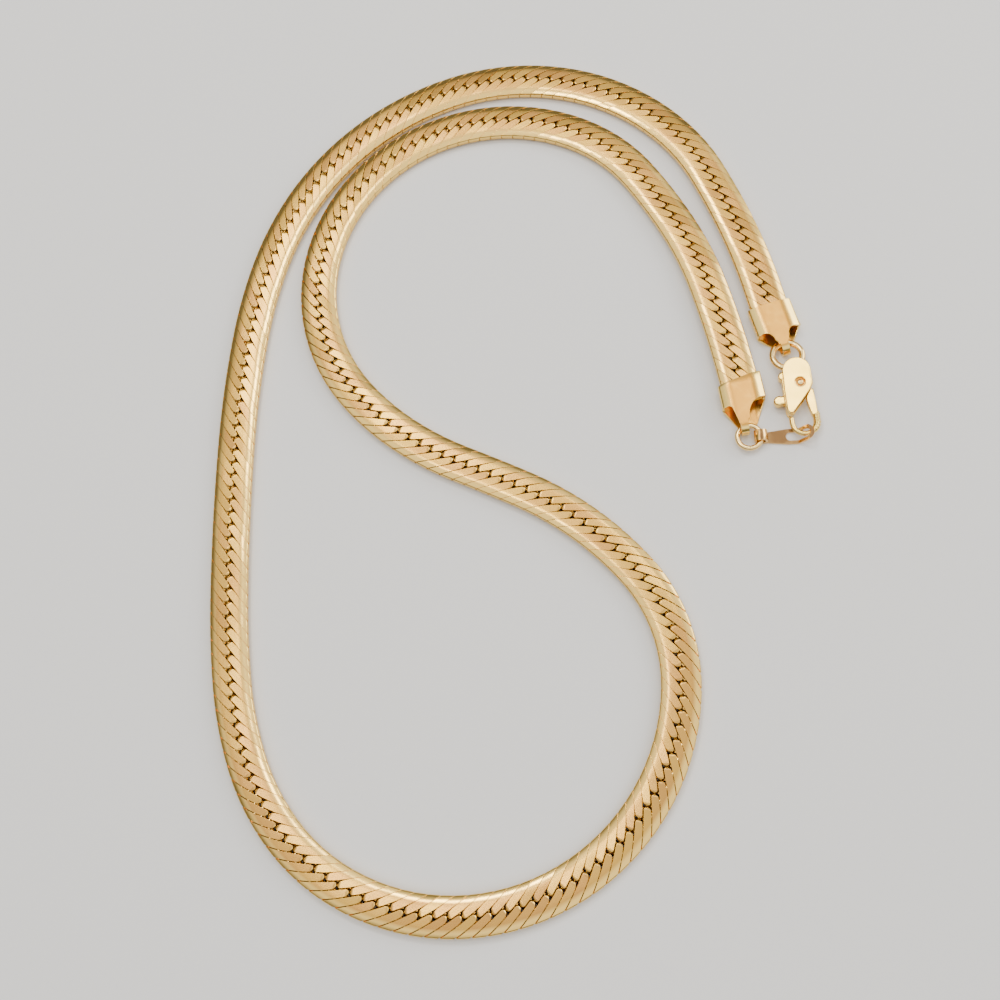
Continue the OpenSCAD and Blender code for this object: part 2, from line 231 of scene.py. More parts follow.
def pieceFromMm(name, bm, material):
    # a piece from a mesh in mm
    bmesh.ops.recalc_face_normals(bm, faces=bm.faces[:])
    mesh = bpy.data.meshes.new(name)
    bm.to_mesh(mesh)
    bm.free()
    mesh.transform(Matrix.Scale(mm, 4))
    mesh.materials.clear()
    mesh.materials.append(material)
    piece = bpy.data.objects.new(name, mesh)
    bpy.context.scene.collection.objects.link(piece)
    return piece


def finishPiece(piece, body="necklace", node=None):
    if node:
        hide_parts(node)
    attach(piece, body)


def roundEdges(piece, width, segments, angle):
    bevel = piece.modifiers.new("edgeRound", "BEVEL")
    bevel.width = width * mm
    bevel.segments = segments
    bevel.limit_method = "ANGLE"
    bevel.angle_limit = math.radians(angle)


# The chain's middle line on the table: each arc's length in mm and its turn to the left in degrees
route = {
    "arcs": [
        (6, -2.5), (14.4, 7), (12, 5), (12, 18), (44, 63), (38, 44), (14, 14), (14, 9),
        (20, 6), (30, 4), (14, 5), (14, 12), (14, 20), (12, 20), (76, 117),
        (22, 43), (12, 12), (12, 12), (12, 2), (12, -12), (12, -14), (94, -162),
        (12, -23), (12, -7), (14, -12), (14, -4), (8.4, -3),
    ],
    "start": (46.4, 23.3, 105.5),       # x, y and heading at the first cap
}


def followArc(x, y, heading, curve, along):
    turned = heading + curve * along
    return (x + (np.sin(turned) - np.sin(heading)) / curve,
            y - (np.cos(turned) - np.cos(heading)) / curve, turned)


def arcTable():
    rows = []
    s = 0
    x, y, heading = route["start"]
    heading = math.radians(heading)
    for length, turn in route["arcs"]:
        curve = math.radians(turn) / length
        rows.append((s, x, y, heading, curve))
        x, y, heading = followArc(x, y, heading, curve, length)
        s += length
    return np.array(rows), s


routeRows, routeLength = arcTable()


def onRoute(s, side=0.0):
    # the place at arc length s, and side to the left of it, with the heading there
    row = routeRows[np.clip(np.searchsorted(routeRows[:, 0], s, "right") - 1, 0, len(routeRows) - 1)]
    x, y, heading = followArc(row[..., 1], row[..., 2], row[..., 3], row[..., 4], s - row[..., 0])
    return x - side * np.sin(heading), y + side * np.cos(heading), heading


# One ring of the chain, in mm, as it is pressed flat
link = {
    "loose": 242,                       # rings that move, without the three soldered in each cap
    "width": 6.6,
    "thick": 2.1,
    "wire": 0.8,                        # thickness of one bar
    "bevelWide": 1.1,
    "bevelDeep": 0.5,
    "creaseSoft": 0.36,                 # half the length over which the bevel's crease turns
    "noseSlant": 20,                    # degrees
    "noseGap": 0.18,
    "noseRound": 0.6,                   # corners of a nose, seen from above
    "noseDrop": 0.20,                   # radius with which a nose turns down
    "slitAtNose": 0.26,
    "slit": 0.06,
    "tightSlit": 0.035,                 # least slit on the inside of a bend
    "slitReach": 0.8,                   # share of the way to the crease over which the slit closes
    "slitPower": 1.3,
    "bevelEnd": 0.22,                   # from the last station on the bevel to the edge
    "rim": 0.10,                        # radius along a bar's long edges, at the nose and the bevel
    "rimAtBevel": 0.045,
    "rimMost": 0.45,                    # share of a bar's width that a rim may take
    "sideRim": 0.16,
    "sideDrop": 0.8,                    # share of a rim's drop on the chain's side
    "innerHeight": 0.35,                # inner face on the chain's side, as a share of the outer
    "innerEnd": 0.8,                    # how far from the edge the inner faces end, in bars' thickness
    "crown": 0.05,                      # fall of the upper face from the middle line, per mm
    "shingle": 1.6,                     # roll of the bars on the inside of a bend
    "jitter": 1.8,                      # degrees of uneven roll
    "sway": [(1.3, 38, 0), (0.9, 13, 1)],   # slow roll: degrees, mm and phase of its waves
    "between": (0.3, 0.65),             # stations from the nose to the crease, as shares of the way
    "postIn": 0.35,                     # from the nose to the middle of the post inside it
    "postHalf": 0.3,
    "postEnd": 0.6,                     # from the faces to the post's ends
}
pitch = routeLength / (link["loose"] + 3)
lean = 4 * pitch / link["width"]
slant = math.tan(math.radians(link["noseSlant"]))
edgeV = link["width"] / 2
creaseV = edgeV - link["bevelWide"]
capLift = 0.52                          # height of the chain over the table inside a cap
riseLength = 45
# Where a bar turns down at the chain's side: distance from the edge, drop under the bevel's foot
# and share of its width
sideTurn = [(0.05, 0.04, 0.98), (0, 0.2, 0.94)]
sideShare = 0.92                        # of a bar's width, half way down the side
# Turn of the surface at the 8 points over a bar, from rear to front
rimTurns = [math.radians(degrees) for degrees in (0, 35, 65, 90, 90, 65, 35, 0)]


def liftAt(s):
    t = np.clip((np.minimum(s, routeLength - s) - 3 * pitch) / riseLength, 0, 1)
    return capLift * (1 + np.cos(math.pi * t)) / 2


def topHeight(v):
    # the upper face over the middle line, with its bevel
    past = v - creaseV
    soft = link["creaseSoft"]
    slope = link["bevelDeep"] / link["bevelWide"]
    fade = min(1, max(0, (edgeV - v) / link["bevelWide"]))      # the bevel's foot keeps its height
    face = link["thick"] - link["crown"] * min(abs(v), creaseV) * fade
    if past < -soft:
        return face
    if past < soft:
        return face - slope * (past + soft) ** 2 / (4 * soft)
    return face - slope * past


def barEnds(cut, half):
    # where a line at the nose's slant meets the rear and the front side of a bar
    ends = []
    for side in (1, -1):
        v = (cut + side * half) / (lean + slant)
        ends.append((lean * v - 2 * pitch - side * half, v))
    return ends


def barSides(vRear, vFront, half):
    return [(lean * vRear - 2 * pitch - half, vRear), (lean * vFront - 2 * pitch + half, vFront)]


def halfSlit(v):
    # half of a bar's width along the chain, which is least at the nose
    t = min(max(v / (link["slitReach"] * creaseV), 0), 1)
    return (pitch - link["slitAtNose"] * (1 - t) ** link["slitPower"] - link["slit"] * t) / 2


def fitted(half, v, curve):
    # a bar keeps its own width on the outside of a bend and is squeezed on the inside
    stretch = 1 - v * curve
    return min(half / stretch, (pitch - link["tightSlit"] / stretch) / 2)


def halfStations(curve):
    # cross-sections of a bar from its nose to the middle of the chain's side:
    # (rear end, front end, drop or height of the face, rim, shine, 1 on the chain's side)
    rows = []
    barUnit = 1 / math.hypot(lean, 1)
    forward = barUnit * (lean + slant)
    noseHalf = fitted(halfSlit(0), 0, curve)
    for turn in (0, 30, 60, 90):
        a = math.radians(turn)
        ahead = link["noseRound"] * (1 - math.cos(a))
        inset = link["noseRound"] * (1 - math.sin(a)) / barUnit
        drop = max(link["noseDrop"] - ahead, 0)
        drop = link["noseDrop"] - math.sqrt(link["noseDrop"] ** 2 - drop ** 2)
        ends = barEnds(link["noseGap"] / 2 + ahead * forward, noseHalf - inset)
        # the nose's upper turns get the painted highlight colour
        polishedHighlight = 1 if turn < 60 else 0
        rows.append((*ends, drop, link["rim"], polishedHighlight, 0))
    (_, vRear), (_, vFront) = rows[-1][0], rows[-1][1]
    softV = creaseV - link["creaseSoft"]
    rimFall = link["rimAtBevel"] - link["rim"]
    for t in link["between"]:
        v1 = vRear + (softV - vRear) * t
        v2 = vFront + (softV - vFront) * t
        half = fitted(halfSlit((v1 + v2) / 2), (v1 + v2) / 2, curve)
        rows.append((*barSides(v1, v2, half), 0, link["rim"] + rimFall * t, 0, 0))
    # from the crease over the bevel the painted highlight colour comes in
    for v, shine in ((softV, 0), (creaseV, 0.5), (creaseV + link["creaseSoft"], 1),
                     (edgeV - link["bevelEnd"], 1)):
        half = fitted(halfSlit(v), v, curve)
        rows.append((*barSides(v, v, half), 0, link["rimAtBevel"], shine, 0))
    bevelFoot = link["thick"] - link["bevelDeep"]
    side = [(edgeV - inset, bevelFoot - drop, share) for inset, drop, share in sideTurn]
    for v, height, share in side + [(edgeV, link["thick"] / 2, sideShare)]:
        half = fitted(halfSlit(v) * share, v, curve)
        rows.append(([-half, v], [half, v], height, link["sideRim"], 1, 1))
    return rows


def sectionPoints(row, roll):
    # one cross-section: 8 points over the outer face from rear to front, 2 back along the inner face
    (u1, v1), (u2, v2), height, rim, shine, side = row
    span = math.hypot(u2 - u1, v2 - v1)
    barUnit = 1 / math.hypot(lean, 1)
    e = ((u2 - u1) / span, (v2 - v1) / span)
    across = abs(e[0] * barUnit - e[1] * lean * barUnit)     # sine of the angle to the bar's sides
    if side:
        across = 1
    reach = min(rim / across, span * link["rimMost"])
    outer = []
    for k, a in enumerate(rimTurns):
        far = reach * (1 - math.cos(a)) / span
        t = far if k < 4 else 1 - far
        drop, off = rim * (1 - math.sin(a)), (t - 0.5) * span * across
        outer.append((u1 + (u2 - u1) * t, v1 + (v2 - v1) * t, drop, off))
    points = []
    for u, v, drop, off in outer:
        if side:
            points.append((u, v - drop * link["sideDrop"], height))
        else:
            points.append((u, v, topHeight(v) - height - drop + roll * off))
    for u, v in ((u2, v2), (u1, v1)):
        if side:
            half = link["thick"] / 2
            points.append((u, v - link["wire"], half + (height - half) * link["innerHeight"]))
        else:
            low = link["thick"] - link["wire"]
            points.append((u, min(v, edgeV - link["wire"] * link["innerEnd"]), low))
    shines = [max(shine, 1 - math.sin(a)) for a in rimTurns] + [1, 1]
    grains = [(u * lean * barUnit + v * barUnit, off) for u, v, _, off in outer]
    grains += [grains[7], grains[0]]
    return points, shines, grains


def swayAt(s):
    return sum(high * math.sin(2 * math.pi * s / long + phase) for high, long, phase in link["sway"])


def barPair(curve, rollTop):
    # the wire from a rear nose over one edge of the chain to a front nose below
    top = [sectionPoints(row, rollTop) for row in halfStations(curve)]
    below = [sectionPoints(row, 0) for row in halfStations(curve)]
    swap = [7, 6, 5, 4, 3, 2, 1, 0, 9, 8]   # the same points from front to rear
    rings = list(top)
    for points, shines, grains in reversed(below[:-1]):
        turned = [(-points[k][0], points[k][1], link["thick"] - points[k][2]) for k in swap]
        rings.append((turned, [shines[k] for k in swap], [grains[k] for k in swap]))
    return rings


def ringFaces(count, size, start):
    faces = [tuple(range(start + size - 1, start - 1, -1))]
    for i in range(count - 1):
        for k in range(size):
            a = start + i * size + k
            b = start + i * size + (k + 1) % size
            faces.append((a, b, b + size, a + size))
    last = start + (count - 1) * size
    faces.append(tuple(range(last, last + size)))
    return faces


def postBox(centre, half, low, high):
    # a plain post that joins an upper and a lower nose inside the chain
    corners = [(-1, -1), (1, -1), (1, 1), (-1, 1)]
    points = [(centre[0] + half * a, centre[1] + half * b, z) for z in (low, high) for a, b in corners]
    return points, ringFaces(2, 4, 0)


def smoothCurve(s):
    # mean turn of the chain over a ring's length, per mm
    ahead, behind = min(s + 2 * pitch, routeLength), max(s - 2 * pitch, 0)
    turn = onRoute(np.float64(ahead))[2] - onRoute(np.float64(behind))[2]
    return float(turn) / (ahead - behind)


def chainPiece(name, firstLink, lastLink, material):
    places, faces, shine, tone, grain = [], [], [], [], []
    shiftAlong, shiftAcross = linkMetal["grainShift"]
    postLow, postHigh = link["postEnd"], link["thick"] - link["postEnd"]
    for i in range(firstLink, lastLink + 1):
        s = (i + 2) * pitch
        curve = smoothCurve(s)
        linkTone = rng.random()
        start = sum(len(p) for p in places)
        local = []
        for half in (1, -1):            # the second half is the first turned round by half a turn
            roll = math.radians(rng.uniform(-1, 1) * link["jitter"] + swayAt(s))
            inside = max(half * curve, 0)
            rings = barPair(half * curve, roll + link["shingle"] * inside)
            for points, shines, grains in rings:
                local += [(half * u, half * v, z) for u, v, z in points]
                shine += shines
                tone += [linkTone] * len(points)
                grain += [(g[0] + shiftAlong * i, g[1] + shiftAcross * half, i) for g in grains]
            size = len(rings[0][0])
            faces += ringFaces(len(rings), size, start)
            start += len(rings) * size
        for end in (-1, 1):
            centre = (end * (2 * pitch - link["postIn"]), 0)
            points, box = postBox(centre, link["postHalf"], postLow, postHigh)
            local += points
            faces += [tuple(start + k for k in face) for face in box]
            start += len(points)
            shine += [0] * len(points)
            tone += [linkTone] * len(points)
            grain += [(0, 0, i)] * len(points)
        local = np.array(local)
        x, y, _ = onRoute(s + local[:, 0], local[:, 1])
        places.append(np.column_stack((x, y, local[:, 2] + liftAt(s))))
    piece = makePiece(name, np.vstack(places), faces, material)
    for label, kind, values in (("shine", "FLOAT", shine), ("tone", "FLOAT", tone),
                                ("grainAt", "FLOAT_VECTOR", grain)):
        layer = piece.data.attributes.new(label, kind, "POINT")
        field = "value" if kind == "FLOAT" else "vector"
        layer.data.foreach_set(field, np.array(values, np.float32).ravel())
    piece.modifiers.new("faceNormals", "WEIGHTED_NORMAL")
    return piece


def makeChain():
    material = linkMaterial()
    half = link["loose"] // 2
    for name, node, first, last in (("chainFirstHalf", "chain_a", 0, half - 1),
                                    ("chainSecondHalf", "chain_b", half, link["loose"] - 1)):
        piece = chainPiece(name, first, last, material)
        finishPiece(piece, node=node)
        print(name, "made of", last - first + 1, "links,", len(piece.data.polygons), "faces")


# The caps are one folded strip of sheet each. A cap's own frame lies on the chain's end on the table,
# with x away from the chain and y to the left
cap = {
    "thick": 3.14,
    "sheet": 0.4,
    "halfWidth": 3.82,
    "flatHalf": 2.31,                   # half width of the flat face between the bevels
    "slope": 0.455,                     # of the bevels
    "ridgeSoft": 0.75,                  # half the length over which a ridge turns
    "rootHalf": 1.3,                    # half width of the tongue at its root and at its fold
    "foldHalf": 0.65,
    "edgeSoft": 0.25,                   # radius between a bevel and the side wall
    "cutStep": 0.2,                     # width of the pieces that the sheet is cut into
    "cutLong": 1.5,                     # how much longer they are than wide
    "edgeCuts": (0, 25, 50, 72),        # degrees round the edge at which the sheet is cut too
    "foldStrip": 0.3,                   # left whole beside the fold
    "weld": 0.02,
    "flareBack": (1.6, 0.7),            # where the flare starts and has its middle, back from the heel
    "heelStep": 0.1,                    # slant of the heel's straight edge
    "hollowTurns": 12,
    "cornerBack": 0.4,                  # from the lower sheet's corner to the fold
    "foldTurns": 12,
    "rim": 0.07,                        # radius of the sheet's cut edges
    # for the right and the left side: mouth, heel, radius of the hollow shoulder, corner of the lower
    # sheet beside the fold, and how far the heel's corner flares out
    "clawSide": {"right": (-2.8, 2.4, 1.6, -1.0, 0.0), "left": (-2.8, 2.4, 1.6, 1.9, 0.2),
                 "end": 6.9, "off": 0.0},
    "tagSide": {"right": (-2.05, 2.0, 0.8, -1.8, 0.0), "left": (-3.55, 1.2, 3.2, 1.6, 0.0),
                "end": 7.3, "off": -0.9},
}


def capHeight(y):
    # upper face of the sleeve: flat, a soft ridge, a bevel and a round edge
    past = abs(y) - cap["flatHalf"]
    soft = cap["ridgeSoft"]
    if past < -soft:
        return cap["thick"]
    if past < soft:
        return cap["thick"] - cap["slope"] * (past + soft) ** 2 / (4 * soft)
    over = min(max(abs(y) - cap["halfWidth"] + cap["edgeSoft"], 0), cap["edgeSoft"])
    edge = cap["edgeSoft"] - math.sqrt(cap["edgeSoft"] ** 2 - over ** 2)
    return cap["thick"] - cap["slope"] * past - edge


def upperEdge(side, row, foldX, off):
    # one side of the upper sheet, from the mouth round the hollow shoulder to the fold
    mouth, heel, hollow, _, flare = row
    wide = side * cap["halfWidth"]
    inner = off + side * cap["rootHalf"]
    start = inner + side * hollow
    far, near = cap["flareBack"]
    edge = [(mouth, wide), (heel - far, wide), (heel - near, wide + side * flare * 0.4)]
    edge += [(heel, wide + side * flare), (heel + cap["heelStep"], wide + (start - wide) * 0.4)]
    for k in range(cap["hollowTurns"] + 1):
        a = math.radians(90 * k / cap["hollowTurns"])
        edge.append((heel + hollow * (1 - math.cos(a)), inner + side * hollow * (1 - math.sin(a))))
    edge.append((foldX, off + side * cap["foldHalf"]))
    return edge


def lowerEdge(side, row, foldX, off):
    # the same for the lower sheet, which runs straight from the heel to its corner
    mouth, heel, _, corner, _ = row
    wide = side * cap["halfWidth"]
    far, near = cap["flareBack"]
    return [(mouth, wide), (heel - far, wide), (heel - near, wide), (heel, wide),
            (foldX - cap["cornerBack"], corner), (foldX, off + side * cap["foldHalf"])]


def cutAcross(bm, made, spots, axis):
    # the given faces, cut by planes at the given places along an axis
    for spot in spots:
        geometry = list({v for f in made for v in f.verts})
        geometry += list({e for f in made for e in f.edges}) + made
        cut = bmesh.ops.bisect_plane(bm, geom=geometry, plane_co=axis * spot, plane_no=axis, dist=1e-5)
        made = [g for g in cut["geom"] if isinstance(g, bmesh.types.BMFace)]
    return made


def addSheet(bm, right, left, foldX, height):
    # the sheet between its two sides, cut into small squares and lifted
    corners = [bm.verts.new((x, y, 0)) for x, y in right + left[::-1]]
    wide, soft, step = cap["halfWidth"], cap["edgeSoft"], cap["cutStep"]
    spots = list(np.arange(-wide + soft + 0.01, wide - soft, step))     # just off the edge's own cuts
    for side in (-1, 1):
        spots += [side * (wide - soft * (1 - math.sin(math.radians(a)))) for a in cap["edgeCuts"]]
    made = cutAcross(bm, [bm.faces.new(corners)], spots, Vector((0, 1, 0)))
    spots = np.arange(foldX - cap["foldStrip"], right[0][0], -step * cap["cutLong"])
    made = cutAcross(bm, made, spots, Vector((1, 0, 0)))
    verts = {v for f in made for v in f.verts}
    for vert in verts:
        vert.co.z = height(vert.co.y)
    return verts


def sleeveEdge(verts, side, heel):
    # the sheet's edge along the sleeve's side, from the mouth to the heel
    edge = [v for v in verts if side * v.co.y > cap["halfWidth"] - 1e-4 and v.co.x < heel + 1e-4]
    return sorted(edge, key=lambda v: v.co.x)


def capSheet(shape):
    foldX = shape["end"] - cap["thick"] / 2
    off = shape["off"]
    middle = cap["thick"] / 2
    bm = bmesh.new()
    sides = ((-1, shape["right"]), (1, shape["left"]))
    upper = addSheet(bm, *[upperEdge(side, row, foldX, off) for side, row in sides], foldX, capHeight)
    lower = addSheet(bm, *[lowerEdge(side, row, foldX, off) for side, row in sides], foldX,
                     lambda y: cap["thick"] - capHeight(y))
    atFold = sorted(round(v.co.y, 4) for v in upper if abs(v.co.x - foldX) < 0.001)
    around = []
    for k in range(cap["foldTurns"] + 1):
        a = math.radians(180 * k / cap["foldTurns"])
        x, z = foldX + middle * math.sin(a), middle + middle * math.cos(a)
        around.append([bm.verts.new((x, y, z)) for y in atFold])
    for first, second in zip(around, around[1:]):
        for k in range(len(atFold) - 1):
            bm.faces.new((first[k], second[k], second[k + 1], first[k + 1]))
    for side, row in sides:
        top, foot = sleeveEdge(upper, side, row[1]), sleeveEdge(lower, side, row[1])
        for (a, b), (c, d) in zip(zip(top, top[1:]), zip(foot, foot[1:])):
            bm.faces.new((a, b, d, c))
    bmesh.ops.remove_doubles(bm, verts=bm.verts[:], dist=cap["weld"])
    bmesh.ops.recalc_face_normals(bm, faces=bm.faces[:])
    for face in bm.faces:
        face.smooth = True
    return bm


# Solder that closes the sleeve behind the last links, in mm
solder = {
    "from": 0.3,
    "to": 1.05,
    "sunk": [(0.12, 0.8), (0.2, 0.4)],  # the face: how deep it is sunk at a share of its size
    "fromEdge": 0.25,
    "fromSheet": 0.3,
    "flank": (1.0, 2.1),                # heights of its upright sides
    "flatHalf": 2.4,
    "round": 0.1,
    "linksTo": 0.6,                     # where the links in it are cut off
}


def solderPlug():
    half, flat = cap["halfWidth"] - solder["fromEdge"], solder["flatHalf"]
    low, high = solder["fromSheet"], cap["thick"] - solder["fromSheet"]
    foot, shoulder = solder["flank"]
    middle = cap["thick"] / 2
    outline = [(-half, foot), (-half, shoulder), (-flat, high), (flat, high),
               (half, shoulder), (half, foot), (flat, low), (-flat, low)]
    points = []
    sunk = [(solder["to"] - deep, size) for deep, size in solder["sunk"]]
    for place, size in [(solder["from"], 1), (solder["to"], 1)] + sunk:
        points += [(place, y * size, middle + (z - middle) * size) for y, z in outline]
    return points, ringFaces(len(points) // len(outline), len(outline), 0)


def inFrame(points, place, turn):
    c, s = math.cos(turn), math.sin(turn)
    return [(place[0] + x * c - y * s, place[1] + x * s + y * c, z) for x, y, z in points]


def makeCap(name, node, shape, s, away, material):
    x, y, heading = (float(v) for v in onRoute(np.float64(s)))
    turn = heading if away > 0 else heading + math.pi
    strip = capSheet(shape)
    strip.transform(Matrix.Translation((x, y, 0)) @ Matrix.Rotation(turn, 4, "Z"))
    sheet = pieceFromMm(name, strip, material)
    wall = sheet.modifiers.new("sheetThickness", "SOLIDIFY")
    wall.thickness = cap["sheet"] * mm
    wall.offset = -1
    roundEdges(sheet, cap["rim"], 2, 50)
    sheet.modifiers.new("faceNormals", "WEIGHTED_NORMAL")
    finishPiece(sheet, node=node)
    points, faces = solderPlug()
    plugged = makePiece(name + "Solder", inFrame(points, (x, y), turn), faces, material)
    roundEdges(plugged, solder["round"], 2, 25)
    finishPiece(plugged)
    return (x, y), turn


def makeSolderedLinks(name, first, last, place, turn, material):
    # the links that are set in the solder, cut off behind it
    piece = chainPiece(name, first, last, material)
    bm = bmesh.new()
    bm.from_mesh(piece.data)
    direction = Vector((math.cos(turn), math.sin(turn), 0))
    cut = Vector((place[0] * mm, place[1] * mm, 0)) + direction * solder["linksTo"] * mm
    whole = bm.verts[:] + bm.edges[:] + bm.faces[:]
    bmesh.ops.bisect_plane(bm, geom=whole, plane_co=cut, plane_no=direction, clear_outer=True)
    bm.to_mesh(piece.data)
    bm.free()
    finishPiece(piece)


# Jump rings in mm and degrees, soldered shut where their joint is
jumpRing = {
    "jump_ring_a": {"name": "jumpRingLarge", "radius": 2.55, "wire": 0.55,
                    "tilt": 7, "turn": 4, "joint": 200},
    "jump_ring_b": {"name": "jumpRingSmall", "radius": 2.05, "wire": 0.45,
                    "tilt": 0, "turn": 0, "joint": 250},
}
ringJoint = {                           # how much the wire swells and dips, and over how many degrees
    "swell": (0.035, 7),
    "dip": (0.05, 1.8),
}


def makeJumpRing(node, material):
    look = jumpRing[node]
    low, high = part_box(node)
    centre = (low + high) / 2 / mm
    tilt = Matrix.Rotation(math.radians(-look["tilt"]), 3, "X")
    turn = Matrix.Rotation(math.radians(look["turn"]), 3, "Z") @ tilt
    swell, swellWide = ringJoint["swell"]
    dip, dipWide = ringJoint["dip"]
    points, faces = [], []
    around, across = 96, 24
    for i in range(around):
        u = 2 * math.pi * i / around
        past = math.degrees(u) - look["joint"]
        grown = swell * math.exp(-(past / swellWide) ** 2) - dip * math.exp(-(past / dipWide) ** 2)
        wire = look["wire"] * (1 + grown)
        for k in range(across):
            v = 2 * math.pi * k / across
            out = look["radius"] + wire * math.cos(v)
            spot = Vector((out * math.cos(u), out * math.sin(u), wire * math.sin(v)))
            points.append(centre + turn @ spot)
            j, n = (i + 1) % around * across, (k + 1) % across
            faces.append((i * across + k, j + k, j + n, i * across + n))
    ring = makePiece(look["name"], points, faces, material)
    finishPiece(ring, node=node)


# The claw in its own frame, with its origin at the rivet, the head towards +y and the hook towards -y
claw = {
    "place": (49.96, 10.98),
    "turn": 4,                          # degrees
    "thick": 2.9,
    "cheek": 0.45,
    "cheekRound": 0.12,
    "sideRound": 0.3,
    "sideIn": 0.22,                     # the cheeks stop this far inside the rounded side wall
    "head": (-0.3, 2.2, 2.4),           # x, y and radius
    "cheekFoot": [(-2.8, -1.5), (-2.8, -4.6), (-2.7, -5.1), (-2.45, -5.45), (-2.1, -5.5),
                  (-1.85, -5.4), (0.4, -2.8), (1.45, -1.5)],
    "cheekEnd": -0.6,                   # where the cheek's edge starts inside the side wall
    "wallFoot": [(1.48, -1.35), (1.8, -1.0), (2.1, -0.4), (2.1, 2.2)],
    "wallThick": 0.6,
    "post": (-1.3, 5.7, 1.85),
    "postIn": 0.2,                      # from a cheek's outer face to the post's end
    "postRound": 0.05,
    "seat": 0.9,                        # radius of the rivet's seat in the cheeks
    "arm": 1.3,
    "armRound": 0.16,
    "armOutline": [(0.75, -2.6), (1.5, -1.3), (2.1, -1.1), (2.22, -3.4), (2.3, -5.6),
                   (2.0, -5.9), (1.3, -5.95), (0.95, -4.6), (0.75, -3.4)],
    "hook": (-0.1, -6.9, 2.1),          # x, y and radius of the bend
    "legTop": -5.3,
    "tip": -5.8,
    "wire": 0.45,
    "leg": 0.63,                        # radius of the ribbed leg
    "rib": 0.045,
    "ribStep": 0.46,
    "legLength": 2.9,
    "legRound": 0.2,                    # at its own end, inside the arm
    "taper": 0.9,                       # length over which the leg gets as thin as the wire
    "tipRound": 0.3,
}
# The lever's plates: each one's thickness is given as what it adds to the lever's, at either face
lever = {
    "thick": 1.6,
    "back": [(0.3, 1.2), (-1.2, 1.75), (-2.6, 2.1), (-3.0, 1.4), (-3.0, 0.4), (-3.02, -1.6),
             (-3.0, -3.6), (-2.7, -4.8), (-1.9, -4.7), (-0.8, -2.9), (0.6, -1.1)],
    "backRound": 0.18,
    "boss": 1.3,
    "bossOver": 0.03,
    "bossRound": 0.1,
    "knuckle": (-2.7, 1.6, 0.8),
    "knuckleOver": 0.02,
    "knuckleRound": 0.26,
    "tab": (-3.9, -2.8, 0.9),
    "tabEnd": -2.8,                     # inside the lever's back
    "tabOver": -0.04,
    "tabRound": 0.32,
    "gate": [(-2.7, -4.2), (-2.65, -5.2), (-2.3, -5.45), (-1.75, -5.55), (-1.6, -4.2)],
    "gateRound": 0.14,
}


def arcPoints(x, y, radius, start, end, count):
    points = []
    for k in range(count + 1):
        a = math.radians(start + (end - start) * k / count)
        points.append((x + radius * math.cos(a), y + radius * math.sin(a)))
    return points


def clawToTable():
    return Matrix.Translation((*claw["place"], 0)) @ Matrix.Rotation(math.radians(claw["turn"]), 4, "Z")


def addPlate(bm, outlines, bottom, top, edge):
    # a flat plate with round edges, drawn as filled outlines in mm
    curve = bpy.data.curves.new("plate", "CURVE")
    curve.dimensions = "2D"
    curve.fill_mode = "BOTH"
    curve.extrude = (top - bottom) / 2 - edge
    curve.bevel_depth = edge
    curve.bevel_resolution = 3
    curve.offset = -edge
    for outline in outlines:
        line = curve.splines.new("POLY")
        line.points.add(len(outline) - 1)
        for point, (x, y) in zip(line.points, outline):
            point.co = (x, y, 0, 1)
        line.use_cyclic_u = True
    holder = bpy.data.objects.new("plate", curve)
    mesh = bpy.data.meshes.new_from_object(holder)
    lift = Matrix.Translation((0, 0, (top + bottom) / 2))
    mesh.transform(clawToTable() @ lift)
    bm.from_mesh(mesh)
    bpy.data.objects.remove(holder)
    bpy.data.meshes.remove(mesh)


def joinRings(bm, rings):
    # smooth faces between rings of corners
    for first, second in zip(rings, rings[1:]):
        for k in range(len(first)):
            n = (k + 1) % len(first)
            bm.faces.new((first[k], first[n], second[n], second[k])).smooth = True


def addSweep(bm, path, across):
    # a round wire along a level path of (x, y, radius), closed at both ends
    rings = []
    height = claw["thick"] / 2
    toTable = clawToTable()
    for i, (x, y, radius) in enumerate(path):
        x1, y1, _ = path[max(i - 1, 0)]
        x2, y2, _ = path[min(i + 1, len(path) - 1)]
        run = math.hypot(x2 - x1, y2 - y1)
        nx, ny = (y1 - y2) / run, (x2 - x1) / run
        ring = []
        for k in range(across):
            v = 2 * math.pi * k / across
            out, up = radius * math.cos(v), radius * math.sin(v)
            ring.append(bm.verts.new(toTable @ Vector((x + nx * out, y + ny * out, height + up))))
        rings.append(ring)
    joinRings(bm, rings)
    bm.faces.new(rings[0][::-1])
    bm.faces.new(rings[-1])


def hookPath():
    x, y, radius = claw["hook"]
    bend = math.pi * radius
    straight = claw["legTop"] - y
    back = claw["tip"] - y
    total = straight + bend + back
    path = []
    steps = 140
    for i in range(steps + 1):
        s = total * i / steps
        if s < straight:
            at = (x + radius, claw["legTop"] - s)
        elif s < straight + bend:
            a = (s - straight) / radius
            at = (x + radius * math.cos(a), y - radius * math.sin(a))
        else:
            at = (x - radius, y + s - straight - bend)
        t = min(max((s - claw["legLength"]) / claw["taper"], 0), 1)
        t = t * t * (3 - 2 * t)
        ribbed = claw["leg"] + claw["rib"] * math.cos(2 * math.pi * s / claw["ribStep"])
        wire = ribbed + (claw["wire"] - ribbed) * t
        left = max(total - s, 0)
        if left < claw["tipRound"]:
            wire *= math.sqrt(max(1 - (1 - left / claw["tipRound"]) ** 2, 0.02))    # never quite 0
        if s < claw["legRound"]:
            wire *= 1 - claw["legRound"] + s
        path.append((*at, wire))
    return path


